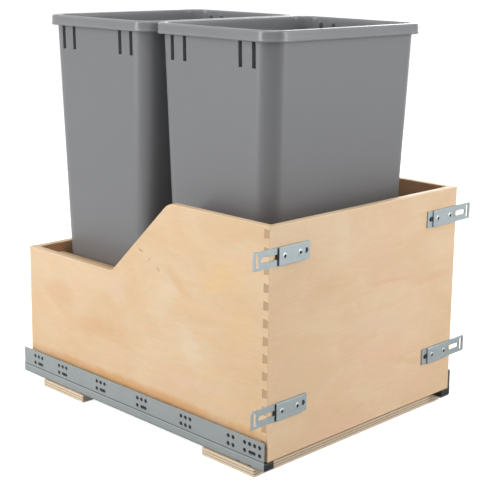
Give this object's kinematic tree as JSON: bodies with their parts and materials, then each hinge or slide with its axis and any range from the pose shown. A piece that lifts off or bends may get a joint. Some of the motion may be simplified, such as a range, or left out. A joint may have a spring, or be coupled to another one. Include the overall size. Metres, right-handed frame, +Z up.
{
  "type": "pull-out trash cabinet",
  "caption": "Bottom-mount pull-out waste unit: dovetailed maple box with contoured sides on undermount slides, slotted door brackets, and tall lift-out bins.",
  "frame": {"origin": "on the cabinet floor, under the middle of the whole unit", "axes": "+Z up, -Y towards the cabinet's door, +X to the right seen from the door"},
  "size_m": [0.474, 0.5508, 0.5914],
  "materials": {
    "maple_plywood": "clear-coated maple veneer plywood",
    "strip_plywood": "plywood with its plies showing at the edges",
    "zinc_steel": "zinc-plated sheet steel, dull",
    "bracket_steel": "zinc-plated steel, dull",
    "screw_steel": "zinc-plated steel",
    "grey_plastic": "moulded polypropylene, fine satin",
    "black_plastic": "black moulded plastic",
    "lever_plastic": "dark grey moulded plastic",
    "cage_plastic": "white acetal"
  },
  "bodies": {
    "base": {"floor_strip_front": "strip_plywood", "floor_strip_rear": "strip_plywood", "rail_screws": "screw_steel", "cabinet_rail_left": "zinc_steel", "rail_stop_left": "black_plastic", "cabinet_rail_right": "zinc_steel", "rail_stop_right": "black_plastic"},
    "middle_left": {"middle_rail_left": "zinc_steel"},
    "lower_cage_left": {"lower_roller_cage_left": "cage_plastic", "lower_rollers_left": "cage_plastic"},
    "upper_cage_left": {"upper_roller_cage_left": "cage_plastic", "upper_rollers_left": "cage_plastic"},
    "middle_right": {"middle_rail_right": "zinc_steel"},
    "lower_cage_right": {"lower_roller_cage_right": "cage_plastic", "lower_rollers_right": "cage_plastic"},
    "upper_cage_right": {"upper_roller_cage_right": "cage_plastic", "upper_rollers_right": "cage_plastic"},
    "drawer": {"front_panel": "maple_plywood", "back_panel": "maple_plywood", "bottom_panel": "maple_plywood", "bin_deck": "maple_plywood", "locking_screws": "screw_steel", "bracket_screws": "screw_steel", "side_panel_left": "maple_plywood", "drawer_rail_left": "zinc_steel", "soft_close_left": "black_plastic", "damper_left": "cage_plastic", "locking_device_left": "black_plastic", "door_bracket_lower_left": "bracket_steel", "door_bracket_upper_left": "bracket_steel", "bracket_clamp_lower_left": "bracket_steel", "bracket_clamp_upper_left": "bracket_steel", "side_panel_right": "maple_plywood", "drawer_rail_right": "zinc_steel", "soft_close_right": "black_plastic", "damper_right": "cage_plastic", "locking_device_right": "black_plastic", "door_bracket_lower_right": "bracket_steel", "door_bracket_upper_right": "bracket_steel", "bracket_clamp_lower_right": "bracket_steel", "bracket_clamp_upper_right": "bracket_steel"},
    "lever_left": {"release_lever_left": "lever_plastic"},
    "lever_right": {"release_lever_right": "lever_plastic"},
    "front_bin": {"front_bin": "grey_plastic"},
    "rear_bin": {"rear_bin": "grey_plastic"}
  },
  "joints": [
    {"name": "drawer_slide", "type": "slide", "parent": "base", "child": "drawer", "axis": [0, -1, 0], "range_m": [0, 0.533]},
    {"name": "middle_left_slide", "type": "slide", "parent": "base", "child": "middle_left", "axis": [0, -1, 0], "range_m": [0, 0.267]},
    {"name": "lower_cage_left_slide", "type": "slide", "parent": "base", "child": "lower_cage_left", "axis": [0, -1, 0], "range_m": [0, 0.13375]},
    {"name": "upper_cage_left_slide", "type": "slide", "parent": "base", "child": "upper_cage_left", "axis": [0, -1, 0], "range_m": [0, 0.40025]},
    {"name": "release_lever_left_pivot", "type": "hinge", "parent": "drawer", "child": "lever_left", "pos_m": [-0.1451, -0.22225, 0.0244], "axis": [0, 0, -1], "range_deg": [0, 18], "stiffness_Nm_per_rad": 0.3, "springref_deg": -8.59},
    {"name": "middle_right_slide", "type": "slide", "parent": "base", "child": "middle_right", "axis": [0, -1, 0], "range_m": [0, 0.267]},
    {"name": "lower_cage_right_slide", "type": "slide", "parent": "base", "child": "lower_cage_right", "axis": [0, -1, 0], "range_m": [0, 0.13375]},
    {"name": "upper_cage_right_slide", "type": "slide", "parent": "base", "child": "upper_cage_right", "axis": [0, -1, 0], "range_m": [0, 0.40025]},
    {"name": "release_lever_right_pivot", "type": "hinge", "parent": "drawer", "child": "lever_right", "pos_m": [0.1451, -0.22225, 0.0244], "axis": [0, 0, 1], "range_deg": [0, 18], "stiffness_Nm_per_rad": 0.3, "springref_deg": -8.59},
    {"name": "front_bin_lift", "type": "slide", "parent": "drawer", "child": "front_bin", "axis": [0, 0, 1], "range_m": [0, 0.56]},
    {"name": "rear_bin_lift", "type": "slide", "parent": "drawer", "child": "rear_bin", "axis": [0, 0, 1], "range_m": [0, 0.56]}
  ],
  "couplings": [
    {"joint": "middle_left_slide", "follows": "drawer_slide", "ratio": 0.5},
    {"joint": "lower_cage_left_slide", "follows": "drawer_slide", "ratio": 0.25},
    {"joint": "upper_cage_left_slide", "follows": "drawer_slide", "ratio": 0.75},
    {"joint": "middle_right_slide", "follows": "drawer_slide", "ratio": 0.5},
    {"joint": "lower_cage_right_slide", "follows": "drawer_slide", "ratio": 0.25},
    {"joint": "upper_cage_right_slide", "follows": "drawer_slide", "ratio": 0.75}
  ]
}
